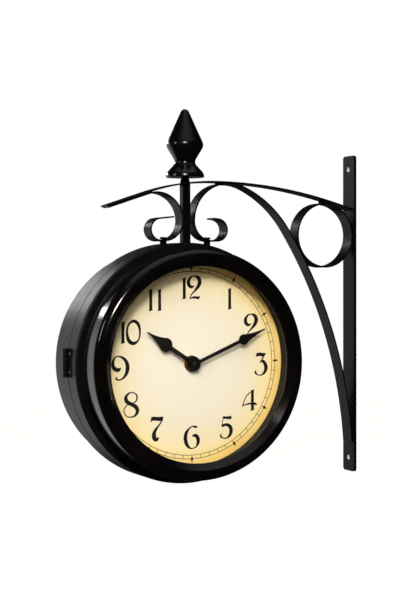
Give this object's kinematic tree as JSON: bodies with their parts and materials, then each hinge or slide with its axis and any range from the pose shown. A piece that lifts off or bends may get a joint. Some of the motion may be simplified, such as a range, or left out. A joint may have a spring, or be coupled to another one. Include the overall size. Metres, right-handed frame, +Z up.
{
  "type": "double sided station clock",
  "caption": "Round black drum clock with a dial on both faces, hung from a scrolled wall bracket with a turned finial.",
  "frame": {"origin": "middle of the two wall holes, on the wall plate's back face", "axes": "+Z up, +X into the wall, so the bracket reaches out along -X, and the front dial faces -Y"},
  "size_m": [0.3049, 0.1076, 0.355],
  "materials": {
    "black_paint": "gloss",
    "black_steel": "satin",
    "zinc_steel": "satin",
    "lens_glass": "polished",
    "seal_rubber": "matte",
    "tunnel_plastic": "satin",
    "dial_print": "satin",
    "movement_plastic": "matte",
    "battery_sleeve": "gloss",
    "brass": "polished",
    "hand_enamel": "gloss"
  },
  "bodies": {
    "bracket_and_front": {"wall_plate": "black_paint", "arm": "black_paint", "front_scroll": "black_paint", "scroll_brace": "black_paint", "ring_hoop": "black_paint", "brace_spacer": "black_paint", "hoop_spacer": "black_paint", "hanger_post": "black_paint", "hanger_rod": "zinc_steel", "post_collar": "black_paint", "finial": "black_paint", "rod_nut": "zinc_steel", "rod_washer": "zinc_steel", "foot_spacers": "black_paint", "foot_screws": "black_steel", "foot_nuts": "zinc_steel", "case_front": "black_paint", "bezel_front": "black_paint", "lens_front": "lens_glass", "lens_gasket_front": "seal_rubber", "tunnel_ring_front": "tunnel_plastic", "dial_front": "dial_print", "dial_seat_front": "tunnel_plastic", "movement_front": "movement_plastic", "battery_front": "battery_sleeve", "cushion_washer_front": "seal_rubber", "bush_front": "brass", "dial_washer_front": "brass", "dial_nut_front": "brass", "hinge_leaf_front": "black_paint", "hinge_pin": "black_steel", "catch_clip": "movement_plastic"},
    "minute_hand_front": {"minute_hand_front": "hand_enamel", "hand_cap_front": "hand_enamel"},
    "hour_hand_front": {"hour_hand_front": "hand_enamel"},
    "setting_wheel_front": {"setting_wheel_front": "movement_plastic"},
    "door": {"case_rear": "black_paint", "bezel_rear": "black_paint", "lens_rear": "lens_glass", "lens_gasket_rear": "seal_rubber", "tunnel_ring_rear": "tunnel_plastic", "dial_rear": "dial_print", "dial_seat_rear": "tunnel_plastic", "movement_rear": "movement_plastic", "battery_rear": "battery_sleeve", "cushion_washer_rear": "seal_rubber", "bush_rear": "brass", "dial_washer_rear": "brass", "dial_nut_rear": "brass", "hinge_leaf_rear": "black_paint", "catch_tongue": "zinc_steel"},
    "minute_hand_rear": {"minute_hand_rear": "hand_enamel", "hand_cap_rear": "hand_enamel"},
    "hour_hand_rear": {"hour_hand_rear": "hand_enamel"},
    "setting_wheel_rear": {"setting_wheel_rear": "movement_plastic"}
  },
  "joints": [
    {"name": "door_hinge", "type": "hinge", "parent": "bracket_and_front", "child": "door", "pos_m": [-0.3026, 0.0137, -0.0406], "axis": [0, 0, 1], "range_deg": [0, 120]},
    {"name": "minute_hand_front_turn", "type": "hinge", "parent": "bracket_and_front", "child": "minute_hand_front", "pos_m": [-0.186, -0.0117, -0.0436], "axis": [0, 1, 0], "continuous": true},
    {"name": "hour_hand_front_turn", "type": "hinge", "parent": "bracket_and_front", "child": "hour_hand_front", "pos_m": [-0.186, -0.0117, -0.0436], "axis": [0, 1, 0], "continuous": true},
    {"name": "setting_wheel_front_turn", "type": "hinge", "parent": "bracket_and_front", "child": "setting_wheel_front", "pos_m": [-0.186, 0.0075, -0.0306], "axis": [0, 1, 0], "continuous": true},
    {"name": "minute_hand_rear_turn", "type": "hinge", "parent": "door", "child": "minute_hand_rear", "pos_m": [-0.186, 0.0391, -0.0436], "axis": [0, -1, 0], "continuous": true},
    {"name": "hour_hand_rear_turn", "type": "hinge", "parent": "door", "child": "hour_hand_rear", "pos_m": [-0.186, 0.0391, -0.0436], "axis": [0, -1, 0], "continuous": true},
    {"name": "setting_wheel_rear_turn", "type": "hinge", "parent": "door", "child": "setting_wheel_rear", "pos_m": [-0.186, 0.0199, -0.0306], "axis": [0, -1, 0], "continuous": true}
  ],
  "couplings": [
    {"joint": "hour_hand_front_turn", "follows": "minute_hand_front_turn", "ratio": 0.083333},
    {"joint": "setting_wheel_front_turn", "follows": "minute_hand_front_turn", "ratio": -0.33333},
    {"joint": "hour_hand_rear_turn", "follows": "minute_hand_rear_turn", "ratio": 0.083333},
    {"joint": "setting_wheel_rear_turn", "follows": "minute_hand_rear_turn", "ratio": -0.33333}
  ]
}
